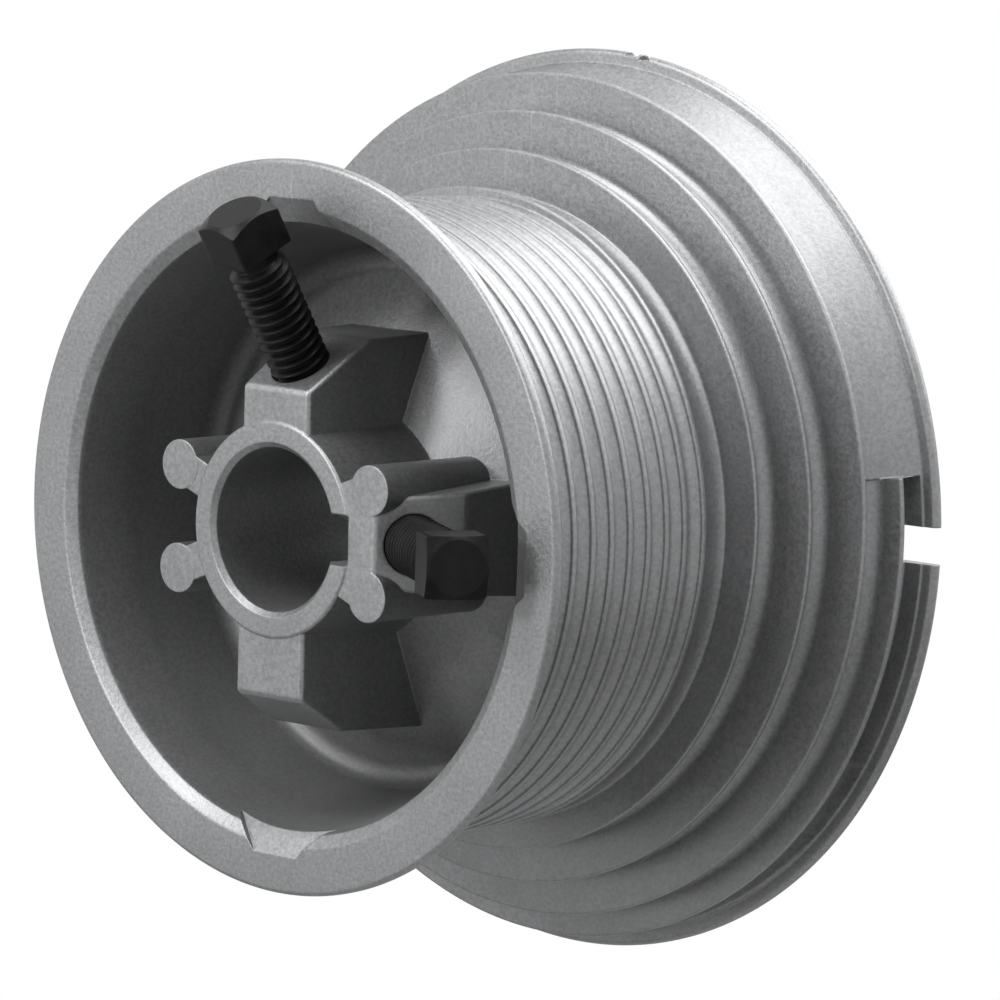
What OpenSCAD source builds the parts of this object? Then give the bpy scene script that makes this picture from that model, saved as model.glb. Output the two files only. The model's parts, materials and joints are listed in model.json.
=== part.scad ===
// Garage door cable drum: a die-cast drum with fine flat grooves and a stepped spiral ramp,
// and two square-head set screws that clamp it to a keyed door shaft.
// The drum's axis lies along Y with the small flange towards -Y, Z is up. Millimetres.

/* [Shaft fit] */
// Diameter of the through bore, a slip fit on a one inch shaft
bore_d = 25.5; // [24.5:0.1:27]
// Width of the keyway, for a quarter inch key
key_w = 6.4; // [5:0.1:7]
// Depth of the keyway from the bore
key_depth = 3.15; // [2.5:0.05:3.2]
// Bevel round the mouth of the bore and keyway
mouth_bevel = 0.8; // [0.3:0.1:0.9]

/* [Hub and bosses] */
// Wall of the hub ring at its front face
hub_wall = 4.15; // [4.1:0.05:5.5]
// How much wider the hub is at the web than at its face, on the radius
hub_draft = 1.2; // [0.5:0.1:2]
// How far the hub face stands in front of the small flange
hub_proud = 2.6; // [1.5:0.1:4]
// Step from the hub face back to the boss faces
boss_step = 0.25; // [0.1:0.05:0.6]
// Width of a boss at its front face
boss_w = 14.3; // [13:0.1:16.5]
// Sideways draft of a boss for each millimetre of depth
boss_draft = 0.07; // [0.02:0.01:0.1]
// How far the front face of a screw boss reaches beyond the hub ring
seat_out = 5; // [4:0.1:6]
// Length of a screw boss's seat down its slope
seat_l = 14.5; // [12:0.1:15]
// Metal left between the screw hole and the front edge of its seat
seat_edge = 1.5; // [1:0.1:2]
// How far the front face of the plain boss reaches beyond the hub ring
plain_out = 9.1; // [7:0.1:10]
// Length of the plain boss's slope
plain_l = 10; // [7:0.1:11]
// Radius of the round ejector lobes
lobe_r = 3.9; // [3:0.1:4.4]
// Distance of the lobe centres from the hub ring
lobe_out = 5.3; // [4.5:0.1:6]
// Angle of the lobes to either side of the level
lobe_a = 21.5; // [20:0.5:25]

/* [Cup] */
// Height of the small flange above the fine ridges
flange_h = 6.7; // [5:0.1:9]
// Thickness of the small flange
flange_t = 2; // [1.6:0.1:3]
// Wall between the fine grooves and the mouth of the cup
cup_wall = 1.8; // [1.5:0.1:3]
// Width of the bevel round the mouth of the cup
bevel_w = 2.2; // [1:0.1:3]
// Depth of that bevel
bevel_d = 1.5; // [0.8:0.1:2]
// How much the radius of the cup narrows down to the web
cup_draft = 4.9; // [3:0.1:6]
// Rounding between the cup wall and the web
cup_round = 3; // [1:0.5:5]
// Depth of the web face, carried on to the axis
web_y = 11.3; // [9:0.1:14]
// Fall of the web face for each millimetre of radius
web_slope = 0.32; // [0.2:0.01:0.4]
// Thickness of the web along the axis
web_t = 4.5; // [3.5:0.1:7]
// How far a wrench notch reaches beyond the inner edge of the flange face
notch_h = 1.4; // [0.5:0.1:3]
// Width of a wrench notch at its outer end
notch_w = 9.2; // [8:0.2:14]

/* [Flat grooves] */
// Radius over the fine ridges
fine_r = 50.3; // [49:0.1:53]
// Depth of a fine groove
fine_depth = 1.1; // [0.6:0.1:1.5]
// Distance from one fine ridge to the next
fine_pitch = 4.17; // [3.8:0.01:5]
// Width of a ridge along the axis, fine and stepped
crest_w = 1; // [0.7:0.1:1.4]

/* [Stepped spiral] */
// Rise of the spiral for each turn
step_rise = 5.94; // [5:0.01:6.5]
// Turns over which the ridge rises
rise_turns = 3.426; // [3.2:0.002:3.44]
// Turns from the change of pitch to the start of the rise
lead_turns = 0.195; // [0.15:0.005:0.25]
// Turns at full height before the ridge ends
flat_turns = 0.543; // [0.53:0.001:0.6]
// Travel of the spiral along the axis for each turn
step_pitch = 5.78; // [5.3:0.01:6.2]
// Depth of a spiral groove behind its ridge
groove_depth = 2.9; // [1.8:0.1:3.2]
// Depth of the last groove, beside the lip
last_depth = 4.15; // [3.3:0.05:4.6]
// Angle above the slot where the last ridge ends
step_a = 8.8; // [6:0.1:14]
// Angle taken by the sloped end of the last ridge
step_ramp_a = 1.2; // [0.8:0.1:3]

/* [Lip and back] */
// Height of the large flange, the lip, above the land before it
lip_h = 2.35; // [1.5:0.05:5]
// Thickness of the lip
lip_t = 1.95; // [1.5:0.05:3]
// Distance from the flange face to the back of the lip
drum_l = 71.25; // [67:0.25:78]
// Width of the cable slot
slot_w = 5.8; // [4.5:0.1:8]
// Depth of the cable slot from the rim of the lip
slot_depth = 11; // [10:0.1:12]
// Wall between the grooves and the hollow of the back
back_wall = 4; // [3:0.1:5]
// How far the hub stops short of the back
hub_back = 3; // [0:0.5:10]

/* [Set screws] */
// Outside diameter of the thread
screw_d = 9.4; // [9:0.05:9.9]
// Length of the screw under its head
screw_l = 31.75; // [29:0.25:34]
// Width of the square head across flats
head_w = 9.5; // [9:0.1:11]
// Height of the head
head_h = 7.1; // [6:0.1:9]
// Lean of the screws from the radial direction towards the front
screw_lean = 32; // [30:0.5:34]
// Length of thread held in the boss, upper screw
top_held = 10.5; // [6:0.25:12]
// Length of thread held in the boss, side screw
side_held = 12; // [6:0.25:12]
// Turn of the upper screw's head
top_turn = 80; // [0:1:90]
// Turn of the side screw's head
side_turn = 0; // [0:1:90]
// Clearance between a screw and its hole, on the radius
screw_gap = 0.06; // [0.02:0.01:0.1]

/* [Hidden] */
$fn = 96;
edge = 0.4;
// how far a cut stands out of what it cuts
over = 1;
// radii from the axis, built up from the walls above
bore_r = bore_d / 2;
key_r = bore_r + key_depth;
hub_r = bore_r + hub_wall;
hub_root_r = hub_r + hub_draft;
seat_r = hub_r + seat_out;
boss_end_r = seat_r + seat_l * sin(screw_lean);
plain_seat_r = hub_r + plain_out;
plain_end_r = plain_seat_r + plain_l * sin(screw_lean);
lobe_at = hub_r + lobe_out;
fine_floor_r = fine_r - fine_depth;
flange_r = fine_r + flange_h;
cup_r = fine_floor_r - cup_wall;
cup_floor_r = cup_r - cup_draft;
face_r = cup_r + bevel_w;
notch_r = face_r + notch_h;
shelf_r = fine_r + step_rise * rise_turns;
floor_r = shelf_r - last_depth;
lip_r = shelf_r + lip_h;
slot_r = lip_r - slot_depth;
hollow_r = fine_floor_r - back_wall;
hollow_end_r = floor_r - back_wall;
// places along the axis and on the seats
lip_y = drum_l - lip_t;
web_at_cup = web_y + web_slope * cup_floor_r;
boss_z = hub_proud - boss_step;
screw_r = screw_d / 2;
screw_in = screw_r + screw_gap + seat_edge;
foot_r = seat_r + screw_in * sin(screw_lean);
foot_z = boss_z - screw_in * cos(screw_lean);
lobes = [lobe_a, -lobe_a, 180 - lobe_a, 180 + lobe_a];
// the spiral, told in turns from the cable slot: it is zero there and grows towards the back
t_end = step_a / 360;
t_rise = t_end - flat_turns - rise_turns;
t_pitch = t_rise - lead_turns;
lip_crowd = 0.3;
y_end = lip_y - step_pitch + lip_crowd;
y_pitch = y_end + step_pitch * t_pitch;
// how far the rear side of a ridge stands lower than its crest, and the plain bands at both ends
fine_foot = 0.15;
step_foot = 0.5;
foot_band = 0.5;
land_band = 0.35;
front_y = flange_t / 2;
foot_y = flange_t + foot_band;
rear_y = drum_l - lip_t / 2;
land_y = lip_y - land_band;
// the part of a turn after which the first cable's cone becomes a step, and over which it does
land_turns = 0.3;
land_over_turns = 0.25;
// the rows of points round the drum, with two more at the end of the last ridge
row_step_a = 10;
row_a = concat([0, step_a, step_a + step_ramp_a],
    [for (a = [2 * row_step_a : row_step_a : 360 - row_step_a]) a]);
row_n = len(row_a);
k_first = floor(t_pitch - y_pitch / fine_pitch) - 2;
per = 6;
row_len = (1 - k_first) * per + 4;

// Where the ridge lies along the axis, and how high it and the groove floor stand, after t turns
function ridge_y(t) = y_pitch + (t < t_pitch ? fine_pitch : step_pitch) * (t - t_pitch);
function spiral_r(t) = fine_r + step_rise * max(0, t - t_rise);
function ridge_r(t) = min(shelf_r, spiral_r(t));
function groove_r(t) = min(floor_r, max(fine_floor_r, spiral_r(t) - groove_depth));
function foot_drop(t) = t < t_rise ? fine_foot : min(step_foot, fine_foot + (t - t_rise) * 2);
function mid_y(t) = (ridge_y(t) + crest_w + ridge_y(t + 1)) / 2;
// The first turn of cable: behind the ridge a cone climbs to the lip, further round it is a step and a land
function land_part(t) = max(0, min(1, (t - t_end - land_turns) / land_over_turns));
function cone_r(t, y) = groove_r(t) + (shelf_r - groove_r(t)) * (y - mid_y(t)) / (lip_y - mid_y(t));
function mix(a, b, f) = a + (b - a) * f;

// One ridge and the groove behind it: [along the axis, radius] points
function real_points(t) =
    let (y0 = ridge_y(t), y1 = y0 + crest_w, yn = ridge_y(t + 1), w = yn - y1)
    let (rr = ridge_r(t), rf = groove_r(t), re = rr - foot_drop(t), c = cos(45))
    let (f = t + 1 > t_end ? land_part(t + 1) : 1, y3 = y1 + w * (1 + c) / 2)
    [[y0, rr], [y1, rr], [y1 + w * (1 - c) / 2, rr - (rr - rf) * c], [y1 + w / 2, rf],
        [y3, mix(cone_r(t, y3), re - (re - rf) * c, f)], [yn, mix(cone_r(t, yn), re, f)]];
// Past the end of the last ridge only its land is left
function land_points(t) =
    let (y0 = ridge_y(t), r0 = mix(cone_r(t - 1, y0), shelf_r, land_part(t)))
    [[y0, r0], for (i = [2 : per]) [land_y, shelf_r]];
function turn_points(t) = t > t_end + 0.0001 ? land_points(t) : real_points(t);
function held(p) = p[0] <= foot_y ? [foot_y, fine_floor_r] : p[0] >= land_y ? [land_y, shelf_r] : p;
function row_points(a) = concat([[front_y, fine_floor_r], [foot_y, fine_floor_r]],
    [for (k = [k_first : 0]) for (p = turn_points(k + a / 360)) held(p)],
    [[land_y, shelf_r], [rear_y, shelf_r]]);
// The number under which a point is used: points that fall together share the first of them
function first_of(row, i) = i == 0 ? 0 : row[i] == row[i - 1] ? first_of(row, i - 1) : i;

// At the seam each ridge meets the next one, while the plain bands at both ends stay in line
function shifted(i, up) = i < 2 || i >= row_len - 2 ? i : min(i + up, row_len - 2);

// The grooved outside of the drum as one solid, from inside the small flange to inside the lip
module grooved_body() {
    profile = [for (a = row_a) row_points(a)];
    share = [for (row = profile) [for (i = [0 : row_len - 1]) first_of(row, i)]];
    points = [for (j = [0 : row_n - 1]) for (p = profile[j])
        [p[1] * cos(row_a[j]), p[1] * sin(row_a[j]), -p[0]]];
    sides = [for (j = [0 : row_n - 1]) for (i = [0 : row_len - 2])
        let (last = j == row_n - 1, n = last ? 0 : j + 1, up = last ? per : 0)
        let (a = j * row_len + share[j][i], b = j * row_len + share[j][i + 1])
        let (d = n * row_len + share[n][shifted(i, up)], c = n * row_len + share[n][shifted(i + 1, up)])
        for (f = [[c, b, a], [d, c, a]]) if (f[0] != f[1] && f[1] != f[2] && f[0] != f[2]) f];
    front = [for (j = [row_n - 1 : -1 : 0]) j * row_len];
    rear = [for (j = [0 : row_n - 1]) j * row_len + share[j][row_len - 1]];
    polyhedron(points, concat(sides, [front, rear]), convexity = 10);
}

// A turned ring or plug from [radius, distance behind the flange face] points
module turned(outline) {
    rotate_extrude() polygon([for (p = outline) [p[0], -p[1]]]);
}

module small_flange() {
    turned([[cup_floor_r, 0], [flange_r - edge, 0], [flange_r, edge], [flange_r, flange_t - edge],
        [flange_r - edge, flange_t], [cup_floor_r, flange_t]]);
}

module lip() {
    inner_r = hollow_end_r - over;
    turned([[inner_r, lip_y], [lip_r - edge, lip_y], [lip_r, lip_y + edge], [lip_r, drum_l - edge],
        [lip_r - edge, drum_l], [inner_r, drum_l]]);
}

// The hollow of the cup down to the sloping web, its corner rounded
module cup_hollow() {
    wall = atan2(cup_draft, web_at_cup - bevel_d);
    web = atan(web_slope);
    half = (90 + wall + web) / 2;
    reach = cup_round / tan(half);
    cr = cup_floor_r + reach * sin(wall) - cup_round * cos(wall);
    cy = web_at_cup - reach * cos(wall) - cup_round * sin(wall);
    corner = [for (i = [0 : 4]) let (g = wall + i * (90 - wall + web) / 4)
        [cr + cup_round * cos(g), cy + cup_round * sin(g)]];
    mouth_r = face_r + over * bevel_w / bevel_d;
    turned(concat([[0, -over], [mouth_r, -over], [cup_r, bevel_d]], corner, [[0, web_y]]));
}

// The hollow of the back, a cone under the spiral
module back_hollow() {
    corner = 2;
    shift = 3;
    web_r = hollow_r - corner;
    turned([[0, web_y + web_t], [web_r, web_y + web_t + web_slope * web_r], [hollow_r, y_pitch + shift],
        [hollow_end_r, lip_y - shift], [hollow_end_r + corner, drum_l + over], [0, drum_l + over]]);
}

module hub() {
    y1 = web_y + web_slope * hub_root_r;
    turned([[0, -hub_proud], [hub_r, -hub_proud], [hub_root_r, y1 + web_t / 2], [hub_root_r, y1 + web_t],
        [hub_r, drum_l - hub_back], [0, drum_l - hub_back]]);
}

// Half way into the web at radius r
function in_web(r) = -web_y - web_t / 2 - web_slope * r;

// A boss along +x: a drafted block with a leaning seat cut across its front outer corner
module boss(front_r, end_r) {
    z1 = boss_z - (end_r - front_r) / tan(screw_lean);
    root_r = end_r + boss_draft * (z1 - in_web(end_r)) / 2;
    low = in_web(root_r);
    wide = boss_w / 2 + boss_draft * (boss_z - low);
    in_hub = bore_r + mouth_bevel;
    intersection() {
        rotate([90, 0, 0]) translate([0, 0, -wide]) linear_extrude(2 * wide)
            polygon([[in_hub, in_web(in_hub)], [root_r, low], [end_r, z1],
                [front_r, boss_z], [in_hub, boss_z]]);
        rotate([90, 0, 90]) linear_extrude(root_r + over)
            polygon([[-boss_w / 2, boss_z + over], [-boss_w / 2, boss_z], [-wide, low], [-wide, low - over],
                [wide, low - over], [wide, low], [boss_w / 2, boss_z], [boss_w / 2, boss_z + over]]);
    }
}

// Round pads that the ejector pins pressed on, each with a neck to the hub
module lobe() {
    low = in_web(lobe_at);
    in_hub = (bore_r + hub_r) / 2;
    neck = lobe_r * 0.7;
    translate([0, 0, low]) linear_extrude(boss_z - low) {
        translate([lobe_at, 0]) circle(lobe_r);
        translate([in_hub, -neck]) square([lobe_at - in_hub, 2 * neck]);
    }
}

module bore_and_key() {
    low = hub_proud - mouth_bevel;
    high = hub_proud + over;
    wider = mouth_bevel + over;
    half = key_w / 2;
    rear = -drum_l - over;
    rotate_extrude() polygon([[0, rear], [bore_r, rear], [bore_r, low], [bore_r + wider, high], [0, high]]);
    translate([0, -half, rear]) cube([key_r, key_w, high - rear]);
    intersection() {
        rotate([90, 0, 90]) linear_extrude(key_r + wider)
            polygon([[-half, low], [half, low], [half + wider, high], [-half - wider, high]]);
        rotate([90, 0, 0]) translate([0, 0, -key_w]) linear_extrude(2 * key_w)
            polygon([[0, low], [key_r, low], [key_r + wider, high], [0, high]]);
    }
}

// Stand on the screw line of the boss along +x, with +z pointing out along the screw from its seat
module on_screw_line() {
    translate([foot_r, 0, foot_z]) rotate([0, 90 - screw_lean, 0]) children();
}

module screw_hole() {
    in = (foot_r - bore_r / 2) / cos(screw_lean);
    on_screw_line() translate([0, 0, -in]) cylinder(r = screw_r + screw_gap, h = in + screw_d);
}

// Flat cut through the flange's inner edge, along the screw line, so that a wrench can swing
module wrench_notch() {
    h = notch_w / 2;
    reach = notch_r - cup_floor_r;
    translate([notch_r, 0, 0]) rotate([0, -screw_lean, 0]) linear_extrude(reach)
        polygon([[over, h - over], [-reach, h + reach], [-reach, -h - reach], [over, over - h]]);
}

module cable_slot() {
    y = ridge_y(0) + crest_w + step_foot;
    translate([slot_r, -slot_w / 2, -drum_l - over]) cube([slot_depth + over, slot_w, drum_l + over - y]);
}

module drum_body() {
    difference() {
        union() {
            difference() {
                union() {
                    grooved_body();
                    small_flange();
                    lip();
                }
                cup_hollow();
                back_hollow();
                cable_slot();
                for (a = [0, 90, 270]) rotate([0, 0, a]) wrench_notch();
            }
            hub();
            for (a = [0, 90]) rotate([0, 0, a]) boss(seat_r, boss_end_r);
            rotate([0, 0, 270]) boss(plain_seat_r, plain_end_r);
            for (a = lobes) rotate([0, 0, a]) lobe();
        }
        bore_and_key();
        for (a = [0, 90]) rotate([0, 0, a]) screw_hole();
    }
}

// Square-head set screw with a cup point, standing on its point
module set_screw_body(turn) {
    neck = 1.8;
    neck_r = screw_r - 1;
    run_out = 0.8;
    tip = 1.4;
    cup_rim = 0.5;
    cup_r = screw_r - tip - cup_rim;
    cup_deep = 1.6;
    crown_r = head_w * 0.45;
    top = screw_l + head_h;
    difference() {
        union() {
            rotate_extrude() polygon([[0, 0], [screw_r - tip, 0], [screw_r, tip],
                [screw_r, screw_l - neck - run_out], [neck_r, screw_l - neck],
                [neck_r, top - over], [0, top - over]]);
            intersection() {
                rotate([0, 0, turn]) translate([0, 0, screw_l]) linear_extrude(head_h)
                    square(head_w, center = true);
                rotate_extrude() polygon([[0, screw_l - over], [head_w, screw_l - over],
                    [head_w, top - (head_w - crown_r) * tan(30)], [crown_r, top], [0, top]]);
            }
        }
        rotate_extrude() polygon([[0, -over], [cup_r + over, -over], [cup_r, 0], [0, cup_deep]]);
    }
}

module drum() {
    color([0.62, 0.63, 0.64]) rotate([90, 0, 0]) drum_body();
}

module set_screw_top() {
    color([0.08, 0.08, 0.09]) rotate([90, 0, 0]) rotate([0, 0, 90]) on_screw_line()
        translate([0, 0, -top_held]) set_screw_body(top_turn);
}

module set_screw_side() {
    color([0.08, 0.08, 0.09]) rotate([90, 0, 0]) on_screw_line()
        translate([0, 0, -side_held]) set_screw_body(side_turn);
}

drum();
set_screw_top();
set_screw_side();
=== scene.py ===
import json
from math import atan, atan2, cos, pi, radians, sin, tan

import bmesh
import bpy
from mathutils import Matrix, Vector

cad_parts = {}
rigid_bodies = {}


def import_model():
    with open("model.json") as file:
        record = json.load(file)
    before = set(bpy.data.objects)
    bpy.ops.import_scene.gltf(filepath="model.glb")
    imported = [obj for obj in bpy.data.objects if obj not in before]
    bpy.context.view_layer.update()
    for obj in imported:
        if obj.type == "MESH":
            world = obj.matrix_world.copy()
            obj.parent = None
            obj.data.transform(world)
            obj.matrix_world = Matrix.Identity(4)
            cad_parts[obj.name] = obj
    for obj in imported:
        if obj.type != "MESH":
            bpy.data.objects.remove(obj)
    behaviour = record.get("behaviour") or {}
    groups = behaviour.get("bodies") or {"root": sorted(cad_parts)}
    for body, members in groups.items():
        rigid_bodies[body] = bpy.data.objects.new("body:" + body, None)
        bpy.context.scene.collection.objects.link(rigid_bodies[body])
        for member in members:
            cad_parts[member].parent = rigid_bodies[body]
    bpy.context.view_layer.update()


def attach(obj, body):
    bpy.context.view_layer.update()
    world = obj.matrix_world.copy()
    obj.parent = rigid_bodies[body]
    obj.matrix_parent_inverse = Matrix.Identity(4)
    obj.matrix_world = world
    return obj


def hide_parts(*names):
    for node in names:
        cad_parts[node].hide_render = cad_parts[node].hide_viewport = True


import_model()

# The drum casting
# One aluminium die casting, straight from the die: a cup with a hub for the door shaft, and outside it a fine
# helical groove that runs over into a stepped spiral ramp, up to the lip that the cable is hooked behind.
MM = 0.001
fine_r, fine_depth, fine_pitch, crest_w = 50.3, 1.1, 4.17, 1.0
step_rise, rise_turns, flat_turns, step_pitch = 5.94, 3.426, 0.543, 5.78
groove_depth, last_depth, step_a, whole_turns = 2.9, 4.15, 8.8, 3
flange_r, flange_t, cup_r, cup_draft, bevel_w, bevel_d, cup_round = 57.0, 2.0, 47.4, 4.9, 2.2, 1.5, 3.0
web_y, web_slope, web_t = 11.3, 0.32, 4.5
lip_t, drum_l, lip_h, back_wall, hub_back = 1.95, 71.25, 2.35, 4.0, 3.0
bore_r, hub_r, hub_root_r, hub_proud, boss_step, mouth_bevel = 12.75, 16.9, 18.1, 2.6, 0.25, 0.8
# small roundings, then how many turns before the rise the wider pitch starts, how much less than one pitch
# the last ridge lies from the lip, and the angle from which an edge stays sharp
lip_round, flange_round, hub_round, land_fillet, foot_fillet = 0.8, 0.7, 0.5, 0.35, 0.5
pitch_lead, last_gap, sharp_a = 0.195, 0.3, radians(28)
fine_floor_r = fine_r - fine_depth
shelf_r = fine_r + step_rise * rise_turns
floor_r = shelf_r - last_depth
lip_r = shelf_r + lip_h
lip_y = drum_l - lip_t
land_y = lip_y - land_fillet
foot_y = flange_t + foot_fillet
turn_end = whole_turns + step_a / 360
turn_rise = turn_end - flat_turns - rise_turns
turn_pitch = turn_rise - pitch_lead
pitch_y = lip_y - step_pitch + last_gap - step_pitch * (whole_turns - turn_pitch)


class Wire:
    """A number inside a node tree, so that a rule can be written down as a plain sum."""

    def __init__(self, tree, socket):
        self.tree, self.socket = tree, socket

    def join(self, operation, *others):
        node = self.tree.nodes.new("ShaderNodeMath")
        node.operation = operation
        for place, value in zip(node.inputs, (self, *others)):
            if isinstance(value, Wire):
                self.tree.links.new(value.socket, place)
            else:
                place.default_value = value
        return Wire(self.tree, node.outputs[0])

    def __add__(self, other):
        return self.join("ADD", other)

    def __sub__(self, other):
        return self.join("SUBTRACT", other)

    def __mul__(self, other):
        return self.join("MULTIPLY", other)

    def __truediv__(self, other):
        return self.join("DIVIDE", other)

    def least(self, other):
        return self.join("MINIMUM", other)

    def most(self, other):
        return self.join("MAXIMUM", other)

    def over(self, other):
        return self.join("GREATER_THAN", other)

    def part(self):
        return self.most(0.0).least(1.0)

    def towards(self, other, share):
        way = other - self if isinstance(other, Wire) else self * -1.0 + other
        return self + way * share


def new_tree(name, sizes):
    """An empty Geometry Nodes tree with a named input for each size, and the wires of those inputs."""
    tree = bpy.data.node_groups.new(name, "GeometryNodeTree")
    tree.interface.new_socket("Geometry", in_out="INPUT", socket_type="NodeSocketGeometry")
    for label, value in sizes.items():
        socket = tree.interface.new_socket(label, in_out="INPUT", socket_type="NodeSocketFloat")
        socket.default_value = value
    tree.interface.new_socket("Geometry", in_out="OUTPUT", socket_type="NodeSocketGeometry")
    source = tree.nodes.new("NodeGroupInput")
    return tree, source, {label: Wire(tree, source.outputs[label]) for label in sizes}


def end_tree(tree, geometry, place, material):
    """Puts the points in their places, then realizes the result and gives it its material."""
    links, nodes = tree.links, tree.nodes
    combine = nodes.new("ShaderNodeCombineXYZ")
    for wire, socket in zip(place, combine.inputs):
        links.new((wire * MM).socket, socket)
    setter = nodes.new("GeometryNodeSetPosition")
    links.new(geometry, setter.inputs["Geometry"])
    links.new(combine.outputs[0], setter.inputs["Position"])
    realize = nodes.new("GeometryNodeRealizeInstances")
    links.new(setter.outputs[0], realize.inputs[0])
    finish = nodes.new("GeometryNodeSetMaterial")
    finish.inputs["Material"].default_value = material
    links.new(realize.outputs[0], finish.inputs["Geometry"])
    links.new(finish.outputs[0], nodes.new("NodeGroupOutput").inputs["Geometry"])


def run_tree(name, base, tree, sizes):
    """The plain mesh that the tree makes of a base mesh."""
    piece = bpy.data.objects.new(name, base)
    bpy.context.scene.collection.objects.link(piece)
    modifier = piece.modifiers.new("rule", "NODES")
    modifier.node_group = tree
    for item in tree.interface.items_tree:
        if item.item_type == "SOCKET" and item.in_out == "INPUT" and item.name in sizes:
            modifier[item.identifier] = sizes[item.name]
    ready = piece.evaluated_get(bpy.context.evaluated_depsgraph_get())
    mesh = bpy.data.meshes.new_from_object(ready)
    bpy.data.objects.remove(piece)
    return mesh


def new_material(name):
    material = bpy.data.materials.new(name)
    material.use_nodes = True
    tree = material.node_tree
    return material, tree.nodes, tree.links, tree.nodes["Principled BSDF"]


def noise(nodes, links, place, scale, detail, roughness=0.5):
    node = nodes.new("ShaderNodeTexNoise")
    node.inputs["Scale"].default_value = scale
    node.inputs["Detail"].default_value = detail
    node.inputs["Roughness"].default_value = roughness
    links.new(place, node.inputs["Vector"])
    return node


def ramp(nodes, links, value, stops):
    node = nodes.new("ShaderNodeValToRGB")
    while len(node.color_ramp.elements) < len(stops):
        node.color_ramp.elements.new(0.5)
    for element, (at, shade) in zip(node.color_ramp.elements, stops):
        element.position = at
        element.color = (*shade, 1.0) if isinstance(shade, tuple) else (shade, shade, shade, 1.0)
    links.new(value, node.inputs["Fac"])
    return node


def skin_normal(nodes, links, shader, height, edge, strength, depth):
    """Rounds the edges in the shading by a small radius and lays a fine grain over it, in millimetres."""
    bevel = nodes.new("ShaderNodeBevel")
    bevel.samples = 4
    bevel.inputs["Radius"].default_value = edge * MM
    bump = nodes.new("ShaderNodeBump")
    bump.inputs["Strength"].default_value = strength
    bump.inputs["Distance"].default_value = depth * MM
    links.new(height, bump.inputs["Height"])
    links.new(bevel.outputs["Normal"], bump.inputs["Normal"])
    links.new(bump.outputs["Normal"], shader.inputs["Normal"])


# As-cast skin: dull grey with a fine sandy grain, with painted shade that makes it darker and less metallic
# down in the cup and deep in the hollow at the back, and with a faint line at the top of the outside where
# the halves of the die meet
painted_shade_from_r, painted_shade_over, painted_shade_least, painted_shade_dark, painted_shade_dull = 28.0, 12.0, 0.35, 0.5, 0.5
wall_margin, seam_sharp, seam_light, metal = 0.4, 4.0, 0.16, 0.75
cast, nodes, links, shader = new_material("cast_skin")
place = nodes.new("ShaderNodeTexCoord").outputs["Object"]
split = nodes.new("ShaderNodeSeparateXYZ")
links.new(place, split.inputs[0])
right, back, up = (Wire(cast.node_tree, socket) for socket in split.outputs)
out_r = (right * right + up * up).join("SQRT") / MM
inside = (out_r * -1.0 + fine_floor_r - wall_margin).part()
far_out = ((out_r - painted_shade_from_r) / painted_shade_over).part()
# painted shade: inside the cup and the back hollow the colour is darkened and the metal lowered, more with
# depth and towards the wall
painted_shade = inside * (back / (web_y * MM)).part() * (far_out * (1.0 - painted_shade_least) + painted_shade_least)
seam = (right.join("ABSOLUTE") / MM * -seam_sharp + 1.0).part() * up.over(0.0) * (inside * -1.0 + 1.0)
clouds = noise(nodes, links, place, 70.0, 6.0, 0.6)
sand = noise(nodes, links, place, 1500.0, 3.0, 0.7)
shade = ramp(nodes, links, clouds.outputs["Fac"], [(0.3, 0.92), (0.7, 1.06)])
speckle = ramp(nodes, links, sand.outputs["Fac"], [(0.35, 0.84), (0.65, 1.12)])
level = Wire(cast.node_tree, shade.outputs["Color"]) * Wire(cast.node_tree, speckle.outputs["Color"])
# the painted shade darkens the colour here
level = level * (painted_shade * -painted_shade_dark + 1.0) * (seam * seam_light + 1.0)
tint = nodes.new("ShaderNodeVectorMath")
tint.operation = "SCALE"
tint.inputs[0].default_value = (0.255, 0.258, 0.262)
links.new(level.socket, tint.inputs["Scale"])
links.new(tint.outputs[0], shader.inputs["Base Color"])
links.new((painted_shade * -painted_shade_dull + metal).socket, shader.inputs["Metallic"])
shader.inputs["Specular IOR Level"].default_value = 0.3
gloss = ramp(nodes, links, sand.outputs["Fac"], [(0.3, 0.36), (0.7, 0.46)])
links.new(gloss.outputs["Color"], shader.inputs["Roughness"])
skin_normal(nodes, links, shader, sand.outputs["Fac"], edge=0.35, strength=0.22, depth=0.2)

# One ridge and the groove behind it, point by point: share of the crest, share of the groove's width, rear
# half or not, share of the depth, share of the corner rounding, and whether the point stays on the bare land
ridge_profile = [(0.0, 0, 0, 0, 1.0, 1), (0.09, 0, 0, 0, 0.29, 1), (0.3, 0, 0, 0, 0, 1),
                 (0.7, 0, 0, 0, 0, 0), (0.91, 0, 0, 0, 0.29, 0), (1.0, 0, 0, 0, 1.0, 0)]
for angle in (20, 45, 70, 90, 110, 135, 160, 180):
    g = radians(angle)
    ridge_profile.append((1.0, (1 - cos(g)) / 2, 1 if angle > 90 else 0, sin(g), 0, 0))


def rounded(cy, cr, radius, start, end, steps=4):
    """Points of a rounding, [along the axis, radius]."""
    return [(cy + radius * cos(radians(start + (end - start) * i / steps)),
             cr + radius * sin(radians(start + (end - start) * i / steps))) for i in range(steps + 1)]


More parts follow.
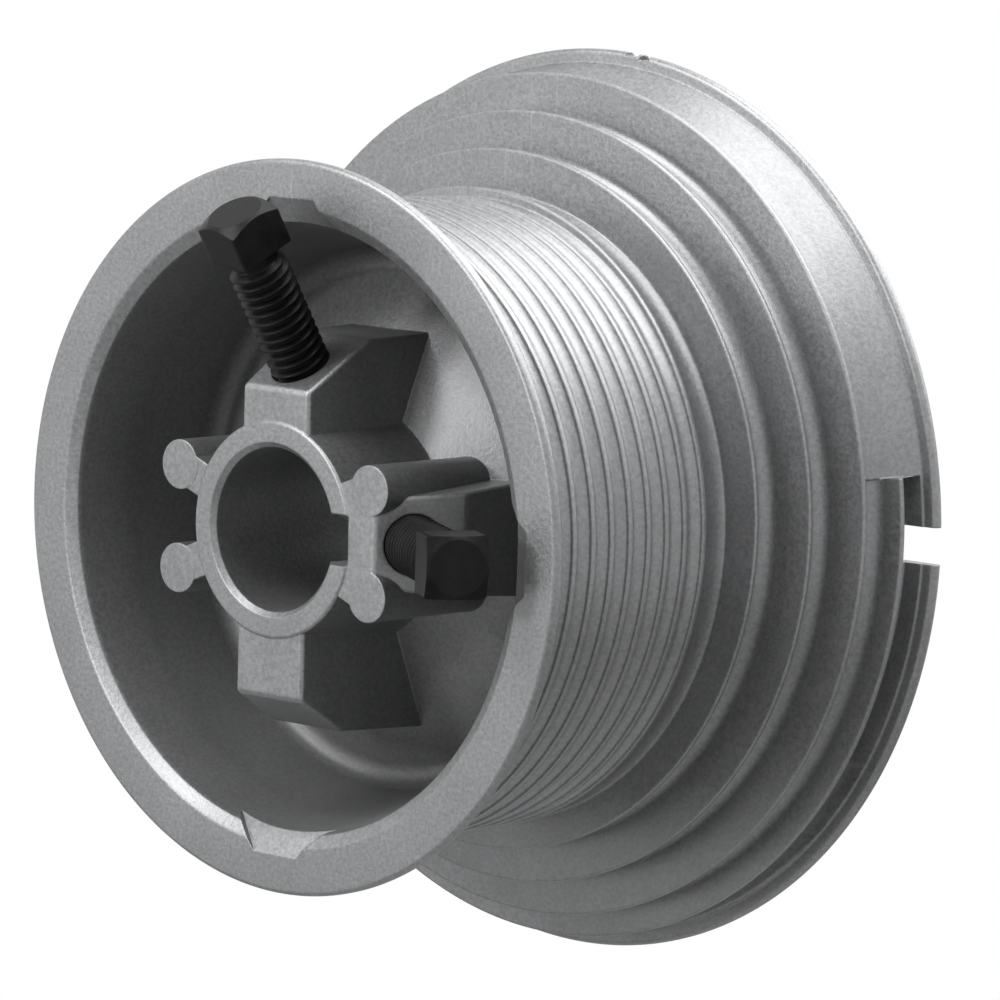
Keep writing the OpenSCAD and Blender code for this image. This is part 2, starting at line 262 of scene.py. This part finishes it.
# The rest of the section, turned about the axis: lip, back hollow, hub, bore, web, cup and small flange
cup_floor_r = cup_r - cup_draft
web_at_cup = web_y + web_slope * cup_floor_r
lean_wall, lean_web = atan2(cup_draft, web_at_cup - bevel_d), atan(web_slope)
reach = cup_round / tan((pi / 2 + lean_wall + lean_web) / 2)
corner_r = cup_floor_r + reach * sin(lean_wall) - cup_round * cos(lean_wall)
corner_y = web_at_cup - reach * cos(lean_wall) - cup_round * sin(lean_wall)
corner = []
for i in range(7):
    g = lean_web + pi / 2 + (lean_wall - lean_web - pi / 2) * i / 6
    corner.append((corner_y + cup_round * sin(g), corner_r + cup_round * cos(g)))
rim_w, rim_edge_w, rim_edge_d, rim_l, cone_late, hollow_taper = 1.5, 2.3, 0.6, 3, 3, 2
hollow_r, hollow_end_r = fine_floor_r - back_wall, floor_r - back_wall
hollow_foot_r = hollow_r - hollow_taper
hub_y = web_y + web_slope * hub_root_r
lip_mid_r, flange_mid_r = lip_r - lip_round, flange_r - flange_round
turned = [(land_y, shelf_r), (lip_y - 0.1, shelf_r + 0.08), (lip_y, shelf_r + land_fillet)]
turned += rounded(lip_y + lip_round, lip_mid_r, lip_round, 180, 90)
turned += rounded(drum_l - lip_round, lip_mid_r, lip_round, 90, 0)
turned += [(drum_l, hollow_end_r + rim_edge_w), (drum_l - rim_edge_d, hollow_end_r + rim_w)]
turned += [(lip_y - rim_l, hollow_end_r), (pitch_y + cone_late, hollow_r)]
turned += [(web_y + web_t + web_slope * hollow_foot_r, hollow_foot_r)]
hub_end = drum_l - hub_back
turned += [(hub_y + web_t, hub_root_r), (hub_end - hub_round, hub_r), (hub_end, hub_r - hub_round)]
turned += [(hub_end, bore_r + hub_round), (hub_end - hub_round, bore_r)]
turned += [(mouth_bevel - hub_proud, bore_r), (-hub_proud, bore_r + mouth_bevel)]
turned += rounded(hub_round - hub_proud, hub_r - hub_round, hub_round, 180, 90)
turned += [(hub_y - 1.2, hub_root_r - 0.15)]
turned += [(hub_y, hub_root_r + 0.4)] + corner
turned += [(bevel_d + 0.5, cup_r - 0.1), (bevel_d - 0.3, cup_r + 0.25), (0.2, cup_r + bevel_w - 0.3)]
turned += [(0.0, cup_r + bevel_w + 0.2), (0.0, flange_r - 3)]
turned += rounded(flange_round, flange_mid_r, flange_round, 180, 90)
turned += rounded(flange_t - flange_round, flange_mid_r, flange_round, 90, 0)
turned += [(flange_t, fine_floor_r + 0.8)]
turned += [(flange_t + 0.15, fine_floor_r + 0.2), (foot_y, fine_floor_r)]

# The base mesh: every section has the same points, and at the seam each ridge meets the next one. Two
# sections lie close together where the ramp ends in a step.
sections, first_turn, ridges, step_share = 270, -12, 16, 0.0002
shares = [i / sections for i in range(sections)]
before = int(step_a / 360 * sections)
shares[before], shares[before + 1] = step_a / 360 - step_share, step_a / 360 + step_share
per = len(ridge_profile)
grooved = ridges * per
ring = grooved + len(turned)
marks = {label: [] for label in
         ("turn", "angle", "crest", "span", "rear", "dip", "round", "lead", "plain", "plain_y", "plain_r")}
for share in shares:
    for k in range(ridges):
        for point in ridge_profile:
            for label, value in zip(("crest", "span", "rear", "dip", "round", "lead"), point):
                marks[label].append(value)
            marks["turn"].append(first_turn + k + share)
    marks["turn"] += [0.0] * len(turned)
    for label in ("crest", "span", "rear", "dip", "round", "lead"):
        marks[label] += [0.0] * len(turned)
    marks["angle"] += [2 * pi * share] * ring
    marks["plain"] += [0.0] * grooved + [1.0] * len(turned)
    marks["plain_y"] += [0.0] * grooved + [point[0] for point in turned]
    marks["plain_r"] += [0.0] * grooved + [point[1] for point in turned]
faces = []
for i in range(sections):
    last = i == sections - 1
    here, there = i * ring, 0 if last else (i + 1) * ring
    for j in range(ring):
        n = (j + 1) % ring
        beside = [min(c + per, grooved) if last and c < grooved else c for c in (j, n)]
        faces.append((here + j, there + beside[0], there + beside[1], here + n))
base = bpy.data.meshes.new("drum_sections")
base.from_pydata([(i % ring * MM, i // ring * MM, 0) for i in range(sections * ring)], [], faces)
for label, values in marks.items():
    base.attributes.new(label, "FLOAT", "POINT").data.foreach_set("value", values)

# The rule of the outside, in turns: whole turns lie at the side of the keyway, and the count grows to the
# back. The ridges' corners are rounded by a little on the fine turns and by more up the steps.
fine_edge, step_edge, edge_share, land_late, land_rate = 0.15, 0.5, 0.8, 0.3, 4.0
sizes = {"Fine Radius": fine_r, "Fine Depth": fine_depth, "Fine Pitch": fine_pitch, "Crest Width": crest_w,
         "Step Rise": step_rise, "Step Pitch": step_pitch, "Groove Depth": groove_depth,
         "Shelf Radius": shelf_r, "Last Floor": floor_r, "Rise Turn": turn_rise,
         "Pitch Turn": turn_pitch, "Pitch Place": pitch_y,
         "End Turn": turn_end, "Lip Place": lip_y, "Land Place": land_y, "Foot Place": foot_y}
tree, source, size = new_tree("drum_grooves", sizes)


def mark(label):
    node = tree.nodes.new("GeometryNodeInputNamedAttribute")
    node.data_type = "FLOAT"
    node.inputs["Name"].default_value = label
    return Wire(tree, node.outputs["Attribute"])


def ridge_y(t):
    d = t - size["Pitch Turn"]
    return size["Pitch Place"] + (d * size["Fine Pitch"]).most(d * size["Step Pitch"])


def spiral_r(t):
    return size["Fine Radius"] + size["Step Rise"] * (t - size["Rise Turn"]).most(0.0)


def groove_r(t):
    fine = size["Fine Radius"] - size["Fine Depth"]
    return (spiral_r(t) - size["Groove Depth"]).most(fine).least(size["Last Floor"])


def land_part(t):
    return ((t - size["End Turn"] - land_late) * land_rate).part()


def cone_r(t, y):
    low, mid = groove_r(t), (ridge_y(t) + size["Crest Width"] + ridge_y(t + 1.0)) * 0.5
    return low + (size["Shelf Radius"] - low) * (y - mid) / (size["Lip Place"] - mid)


turn, crest, span, rear, lead = mark("turn"), mark("crest"), mark("span"), mark("rear"), mark("lead")
past = turn.over(size["End Turn"])
start_y = ridge_y(turn)
wide = ridge_y(turn + 1.0) - start_y - size["Crest Width"]
drop = ((turn - size["Rise Turn"]) * 2.0 + fine_edge).most(fine_edge).least(step_edge)
top = spiral_r(turn).least(size["Shelf Radius"]) - drop * rear
arc = top - drop * mark("round") * edge_share - (top - groove_r(turn)) * mark("dip")
y = start_y + size["Crest Width"] * crest + wide * span
step = (land_part(turn + 1.0)).most((turn + 1.0).over(size["End Turn"]) * -1.0 + 1.0)
r = arc.towards(cone_r(turn, y).towards(arc, step), rear)
bare_y = size["Land Place"].towards(start_y + size["Crest Width"] * crest, lead)
risen = land_part(turn)
bare_r = cone_r(turn - 1.0, bare_y).towards(size["Shelf Radius"], risen)
bare_r = bare_r - drop * mark("round") * risen * edge_share
bare_r = size["Shelf Radius"].towards(bare_r, lead)
y, r = y.towards(bare_y, past), r.towards(bare_r, past)
low, high = size["Foot Place"].over(y), y.over(size["Land Place"] - 0.001)
r = r.towards(size["Fine Radius"] - size["Fine Depth"], low).towards(size["Shelf Radius"], high)
y = y.most(size["Foot Place"]).least(size["Land Place"])
plain = mark("plain")
y, r = y.towards(mark("plain_y"), plain), r.towards(mark("plain_r"), plain)
angle = mark("angle")
end_tree(tree, source.outputs["Geometry"], (r * angle.join("COSINE"), y, r * angle.join("SINE")), cast)
mesh = run_tree("drum_sections", base, tree, sizes)
for label in marks:
    mesh.attributes.remove(mesh.attributes[label])


def closed(mesh, join=0.002 * MM):
    """Merges what falls together and turns the faces outwards."""
    shape = bmesh.new()
    shape.from_mesh(mesh)
    bmesh.ops.remove_doubles(shape, verts=shape.verts, dist=join)
    bmesh.ops.dissolve_degenerate(shape, edges=shape.edges, dist=join)
    bmesh.ops.recalc_face_normals(shape, faces=shape.faces)
    shape.to_mesh(mesh)
    shape.free()


def stand_in(name, mesh, group):
    """A helper object for the joins and cuts, in a collection that is removed afterwards."""
    piece = bpy.data.objects.new(name, mesh)
    group.objects.link(piece)
    return piece


# from [right, up, front] in millimetres to the part's frame in metres
to_part = Matrix.Scale(MM, 4) @ Matrix(((1, 0, 0, 0), (0, 0, -1, 0), (0, 1, 0, 0), (0, 0, 0, 1)))


def solid(name, points, faces, turn=0.0, soften=0.0, at=Matrix()):
    """A flat-faced solid, its edges softened, turned about the bore axis to its place."""
    mesh = bpy.data.meshes.new(name)
    mesh.from_pydata(points, [], faces)
    shape = bmesh.new()
    shape.from_mesh(mesh)
    if soften:
        bmesh.ops.bevel(shape, geom=shape.edges, offset=soften, segments=3, profile=0.5, affect="EDGES")
    bmesh.ops.recalc_face_normals(shape, faces=shape.faces)
    shape.transform(to_part @ Matrix.Rotation(radians(turn), 4, "Z") @ at)
    shape.to_mesh(mesh)
    shape.free()
    return mesh


def slab(outline, wide):
    """Points and faces of an outline in [out, front], wide(front) to either side of its middle plane."""
    n = len(outline)
    points = [(x, side * wide(z), z) for side in (-1, 1) for x, z in outline]
    faces = [tuple(range(n)), tuple(range(2 * n - 1, n - 1, -1))]
    faces += [(i, i + n, (i + 1) % n + n, (i + 1) % n) for i in range(n)]
    return points, faces


def rod(radius, low, high, steps=64):
    """Points and faces of a round bar along z."""
    points = [(radius * cos(2 * pi * i / steps), radius * sin(2 * pi * i / steps), z)
              for z in (low, high) for i in range(steps)]
    faces = [tuple(range(steps)), tuple(range(steps, 2 * steps))]
    faces += [(i, (i + 1) % steps, (i + 1) % steps + steps, i + steps) for i in range(steps)]
    return points, faces


# Two bosses for the set screws and a plain one opposite the upper one, drafted, each with a leaning seat,
# and four round lobes for ejector pins. All of them run into the web.
boss_w, boss_draft, boss_z, lean = 14.3, 0.07, hub_proud - boss_step, radians(32)
seat_r, seat_l, plain_seat_r, plain_l = hub_r + 5, 14.5, hub_r + 9.1, 10.0
lobe_r, lobe_at, lobe_a = 3.9, hub_r + 5.3, 21.5
boss_root_r, neck_root_r, neck_share, boss_soft = bore_r + 1, bore_r + 2, 0.7, 0.7
# the lobes stand a hair above the bosses and the necks a hair below, so that no two faces share a plane
hair, neck_sink, lobe_steps = 0.02, 0.1, 48
joins = bpy.data.collections.new("joins")
cuts = bpy.data.collections.new("cuts")


def in_web(r):
    return -web_y - web_t / 2 - web_slope * r


for turn_a, front_r, length in ((0, seat_r, seat_l), (90, seat_r, seat_l), (270, plain_seat_r, plain_l)):
    end_r, end_z = front_r + length * sin(lean), boss_z - length * cos(lean)
    root_r = end_r + boss_draft * (end_z - in_web(end_r)) / 2
    outline = [(boss_root_r, in_web(boss_root_r)), (root_r, in_web(root_r)), (end_r, end_z),
               (front_r, boss_z), (boss_root_r, boss_z)]
    points, faces = slab(outline, lambda z: boss_w / 2 + boss_draft * (boss_z - z))
    stand_in("boss", solid("boss", points, faces, turn_a, boss_soft), joins)
for turn_a in (lobe_a, -lobe_a, 180 - lobe_a, 180 + lobe_a):
    low = in_web(lobe_at)
    points, faces = rod(lobe_r, low, boss_z + hair, lobe_steps)
    mesh_lobe = solid("lobe", points, faces, turn_a, 0.0, Matrix.Translation((lobe_at, 0, 0)))
    stand_in("lobe", mesh_lobe, joins)
    neck_low, neck_top = low - neck_sink, boss_z - hair
    outline = [(neck_root_r, neck_low), (lobe_at, neck_low), (lobe_at, neck_top), (neck_root_r, neck_top)]
    points, faces = slab(outline, lambda z: lobe_r * neck_share)
    stand_in("neck", solid("neck", points, faces, turn_a), joins)

# Keyway, screw holes, wrench notches in the flange and the cable slot through the lip
key_w, key_r, slot_w, slot_r = 6.4, bore_r + 3.15, 5.8, lip_r - 11
notch_w, notch_r = 9.2, cup_r + bevel_w + 1.4
slot_gap, behind_z, past_r = 0.5, -drum_l - 1, lip_r + 2
screw_r, screw_gap, seat_edge = 4.7, 0.06, 1.5
screw_in = screw_r + screw_gap + seat_edge
foot = Vector((seat_r + screw_in * sin(lean), 0, boss_z - screw_in * cos(lean)))
on_screw_line = Matrix.Translation(foot) @ Matrix.Rotation(pi / 2 - lean, 4, "Y")
outline = [(1, behind_z), (key_r, behind_z), (key_r, hub_proud - mouth_bevel),
           (key_r + mouth_bevel + 1, hub_proud + 1), (1, hub_proud + 1)]
points, faces = slab(outline, lambda z: key_w / 2 + max(0.0, z - hub_proud + mouth_bevel))
stand_in("keyway", solid("keyway", points, faces), cuts)
for turn_a in (0, 90):
    points, faces = rod(screw_r + screw_gap, -(foot.x - 5) / cos(lean), 10)
    stand_in("screw_hole", solid("screw_hole", points, faces, turn_a, 0.0, on_screw_line), cuts)
for turn_a in (0, 90, 270):
    half, deep = notch_w / 2, notch_r - cup_floor_r
    outline = [(1, half - 1), (-deep, half + deep), (-deep, -half - deep), (1, 1 - half)]
    n = len(outline)
    points = [(u, v, z) for z in (0, deep) for u, v in outline]
    faces = [tuple(range(n)), tuple(range(n, 2 * n))]
    faces += [(i, (i + 1) % n, (i + 1) % n + n, i + n) for i in range(n)]
    at = Matrix.Translation((notch_r, 0, 0)) @ Matrix.Rotation(-lean, 4, "Y")
    stand_in("notch", solid("notch", points, faces, turn_a, 0.0, at), cuts)
slot_y = lip_y - step_pitch + last_gap + crest_w + slot_gap
outline = [(slot_r, behind_z), (past_r, behind_z), (past_r, -slot_y), (slot_r, -slot_y)]
points, faces = slab(outline, lambda z: slot_w / 2)
stand_in("slot", solid("slot", points, faces), cuts)
# two small nicks at the top of the lip, as a feed leaves where it is broken off
nick_in, nick_flare = 0.4, 0.3
for turn_a, half, deep in ((84.6, 0.9, 0.55), (82.4, 0.5, 0.9)):
    low_r, nick_z = lip_r - deep, nick_in - lip_y
    outline = [(low_r, behind_z), (past_r, behind_z), (past_r, nick_z), (low_r, nick_z)]
    points, faces = slab(outline, lambda z: half + nick_flare * (z + drum_l))
    stand_in("nick", solid("nick", points, faces, turn_a), cuts)


def bake(piece):
    """Turns the piece's modifiers into plain mesh and removes them."""
    ready = piece.evaluated_get(bpy.context.evaluated_depsgraph_get())
    mesh = bpy.data.meshes.new_from_object(ready)
    piece.modifiers.clear()
    piece.data = mesh
    return mesh


closed(mesh)
drum = bpy.data.objects.new("drum_casting", mesh)
bpy.context.scene.collection.objects.link(drum)
for group, action in ((joins, "UNION"), (cuts, "DIFFERENCE")):
    bpy.context.scene.collection.children.link(group)
    modifier = drum.modifiers.new(action.lower(), "BOOLEAN")
    modifier.operation = action
    modifier.operand_type = "COLLECTION"
    modifier.collection = group
    modifier.solver = "EXACT"
mesh = bake(drum)
for group in (joins, cuts):
    for piece in list(group.objects):
        bpy.data.objects.remove(piece)
    bpy.data.collections.remove(group)
mesh.materials.clear()
mesh.materials.append(cast)
mesh.polygons.foreach_set("material_index", [0] * len(mesh.polygons))
mesh.shade_smooth()
mesh.set_sharp_from_angle(angle=sharp_a)
# the broad faces keep their own direction, so that they shade flat up to their rounded edges
modifier = drum.modifiers.new("flat_faces", "WEIGHTED_NORMAL")
modifier.keep_sharp = True
bake(drum)
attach(drum, "drum")
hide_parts("drum")

# The two set screws
# Square-head cup-point screws of black steel with a rolled thread, each held by the thread in its boss and
# backed out. They lean to the front so that a wrench reaches them past the small flange.
screw_l, head_w, head_h, head_soft, crown_share, crown_lean = 31.75, 9.5, 7.1, 0.5, 0.45, pi / 6
thread_pitch, thread_depth, neck_l, neck_in, tip_l = 1.5875, 0.85, 1.8, 1.0, 1.4
point_edge, point_cup, cup_tip_r, head_overlap = 0.5, 1.6, 0.02, 0.3
steel, nodes, links, shader = new_material("black_oxide")
place = nodes.new("ShaderNodeTexCoord").outputs["Object"]
clouds = noise(nodes, links, place, 300.0, 5.0, 0.6)
dark, worn = (0.006, 0.006, 0.0065), (0.014, 0.014, 0.015)
tint = ramp(nodes, links, clouds.outputs["Fac"], [(0.3, dark), (0.75, worn)])
links.new(tint.outputs["Color"], shader.inputs["Base Color"])
shader.inputs["Specular IOR Level"].default_value = 0.1
gloss = ramp(nodes, links, clouds.outputs["Fac"], [(0.3, 0.28), (0.7, 0.42)])
links.new(gloss.outputs["Color"], shader.inputs["Roughness"])
grain = noise(nodes, links, place, 1400.0, 3.0)
skin_normal(nodes, links, shader, grain.outputs["Fac"], edge=0.25, strength=0.08, depth=0.1)

# The thread is one strip wound on the shank: root, flank, crest, flank for each turn
shank_l = screw_l - neck_l
sizes = {"Thread Radius": screw_r, "Thread Depth": thread_depth, "Thread Pitch": thread_pitch,
         "Thread Length": shank_l, "Point Bevel": tip_l, "Turns": shank_l / thread_pitch + 2}
tree, source, size = new_tree("screw_thread", sizes)
steps = 40
grid = tree.nodes.new("GeometryNodeMeshGrid")
tree.links.new(size["Turns"].socket, grid.inputs["Size X"])
grid.inputs["Size Y"].default_value = 4.0
tree.links.new((size["Turns"].join("CEIL") * steps + 1.0).socket, grid.inputs["Vertices X"])
grid.inputs["Vertices Y"].default_value = 5
split = tree.nodes.new("ShaderNodeSeparateXYZ")
tree.links.new(tree.nodes.new("GeometryNodeInputPosition").outputs[0], split.inputs[0])
wound = Wire(tree, split.outputs["X"]) + size["Turns"] * 0.5 - 1.0
across = Wire(tree, split.outputs["Y"]) + 2.0
flank_up, flank_down = (across - 1.0).part(), (across - 3.0).part()
rise = across.part() * 0.25 + flank_up * 0.3125 + (across - 2.0).part() * 0.125 + flank_down * 0.3125
z = ((wound + rise) * size["Thread Pitch"]).most(0.0).least(size["Thread Length"])
r = size["Thread Radius"] - size["Thread Depth"] + size["Thread Depth"] * (flank_up - flank_down)
r = r.least(size["Thread Radius"] - size["Point Bevel"] + z)
r = r.least(size["Thread Radius"] - neck_in + (size["Thread Length"] - z))
angle = wound * (2 * pi)
end_tree(tree, grid.outputs["Mesh"], (r * angle.join("COSINE"), r * angle.join("SINE"), z), steel)
thread = run_tree("thread", bpy.data.meshes.new("thread"), tree, sizes)

neck_r, tip_r = screw_r - neck_in, screw_r - tip_l
neck = [(neck_r, shank_l), (neck_r, screw_l + head_overlap)]
cup = [(tip_r, 0), (tip_r - point_edge, 0), (cup_tip_r, point_cup)]
for name, turn_a, head_a, held in (("set_screw_top", 90, 80, 10.5), ("set_screw_side", 0, 0, 12.0)):
    shape = bmesh.new()
    shape.from_mesh(thread)
    # neck under the head, and the cup in the point
    for outline in (neck, cup):
        rings = []
        for r, z in outline:
            spokes = [(cos(2 * pi * i / steps), sin(2 * pi * i / steps)) for i in range(steps)]
            rings.append([shape.verts.new((r * x * MM, r * y * MM, z * MM)) for x, y in spokes])
        for low, high in zip(rings, rings[1:]):
            for i in range(steps):
                shape.faces.new((low[i], low[(i + 1) % steps], high[(i + 1) % steps], high[i]))
    shape.transform(Matrix.Scale(1 / MM, 4))
    # square head, its corners softened, with a flat round crown that bevels the corners off
    half, soft, crown_r, rim = head_w / 2, head_soft, head_w * crown_share, []
    for k in range(4):
        quarter = Matrix.Rotation(radians(head_a + 90 * k), 3, "Z")
        rim += [quarter @ Vector((half, (i / 6 - 1) * (half - soft), 0)) for i in range(12)]
        for i in range(4):
            g = i * pi / 8
            rim.append(quarter @ Vector((half - soft + soft * cos(g), half - soft + soft * sin(g), 0)))
    top = screw_l + head_h
    rings = [[shape.verts.new((p.x, p.y, screw_l)) for p in rim],
             [shape.verts.new((p.x, p.y, top - (p.length - crown_r) * tan(crown_lean))) for p in rim],
             [shape.verts.new((*(p.normalized() * crown_r).xy, top)) for p in rim]]
    shape.faces.new(rings[0])
    shape.faces.new(rings[2])
    for low, high in zip(rings, rings[1:]):
        for i in range(len(rim)):
            n = (i + 1) % len(rim)
            shape.faces.new((low[i], low[n], high[n], high[i]))
    bmesh.ops.remove_doubles(shape, verts=shape.verts, dist=0.002)
    bmesh.ops.recalc_face_normals(shape, faces=shape.faces)
    shape.transform(to_part @ Matrix.Rotation(radians(turn_a), 4, "Z") @ on_screw_line
                    @ Matrix.Translation((0, 0, -held)))
    mesh = bpy.data.meshes.new(name + "_steel")
    shape.to_mesh(mesh)
    shape.free()
    mesh.materials.append(steel)
    mesh.shade_smooth()
    mesh.set_sharp_from_angle(angle=sharp_a)
    screw = bpy.data.objects.new(name + "_steel", mesh)
    bpy.context.scene.collection.objects.link(screw)
    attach(screw, name)
    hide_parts(name)

# The floor and the light
# The drum sits up on its shaft, so the pale floor lies well below it. Three soft lamps near a plain level
# stand overhead, behind and high at the front left, and a small weak one further off, before plain white.
scene = bpy.context.scene
floor_z, floor_w, world_level, white = -1.1, 3, 0.4, 1.0
floor_mesh = bpy.data.meshes.new("floor")
corners = [(x * floor_w, y * floor_w, floor_z) for x, y in ((-1, -1), (1, -1), (1, 1), (-1, 1))]
floor_mesh.from_pydata(corners, [], [(0, 1, 2, 3)])
floor = bpy.data.objects.new("floor", floor_mesh)
scene.collection.objects.link(floor)
pale, nodes, links, shader = new_material("pale_floor")
shader.inputs["Base Color"].default_value = (0.8, 0.8, 0.8, 1)
shader.inputs["Roughness"].default_value = 0.8
floor_mesh.materials.append(pale)

world = bpy.data.worlds.new("studio")
scene.world = world
world.use_nodes = True
nodes, links = world.node_tree.nodes, world.node_tree.links
path = nodes.new("ShaderNodeLightPath")
camera_ray, glossy_ray, clear_ray = (Wire(world.node_tree, path.outputs["Is %s Ray" % kind])
                                     for kind in ("Camera", "Glossy", "Transmission"))
level = nodes.new("ShaderNodeMapRange")
level.inputs["To Min"].default_value = world_level
level.inputs["To Max"].default_value = white
links.new(camera_ray.most(glossy_ray).most(clear_ray).socket, level.inputs["Value"])
nodes["Background"].inputs["Color"].default_value = (1, 1, 1, 1)
links.new(level.outputs["Result"], nodes["Background"].inputs["Strength"])

for name, at, aim, wide, power in (("overhead", (0.16, 0.10, 0.60), (0, 0.03, 0), 0.6, 5.5),
                                   ("behind", (0.10, 0.50, 0.40), (0, 0.03, 0), 0.6, 4.0),
                                   ("high", (-0.25, -0.55, 0.60), (0, 0, 0), 0.4, 5.0),
                                   ("front", (-0.35, -0.95, 0.25), (0, 0, 0), 0.15, 3.6)):
    lamp = bpy.data.lights.new(name, "AREA")
    lamp.size = wide
    lamp.energy = power
    holder = bpy.data.objects.new(name, lamp)
    holder.location = at
    holder.rotation_euler = (Vector(aim) - Vector(at)).to_track_quat("-Z", "Y").to_euler()
    scene.collection.objects.link(holder)

# The camera, as found from the outlines of the two flanges: long lens, a little above the axis, to the right
camera = bpy.data.cameras.new("camera")
camera.lens = 216
camera.sensor_width = 36
camera.clip_end = 50
eye = bpy.data.objects.new("camera", camera)
eye_at = Vector((649.03, -649.32, 115.19))
rightwards = Vector((0.72973, 0.68310, 0.02949))
downwards = Vector((0.10256, -0.06672, -0.99249))
ahead = Vector((-0.67600, 0.72727, -0.11875))
turned_eye = Matrix((rightwards, -downwards, -ahead)).transposed().to_4x4()
eye.matrix_world = Matrix.Translation(eye_at * MM) @ turned_eye
scene.collection.objects.link(eye)
scene.camera = eye
scene.view_settings.view_transform = "Standard"
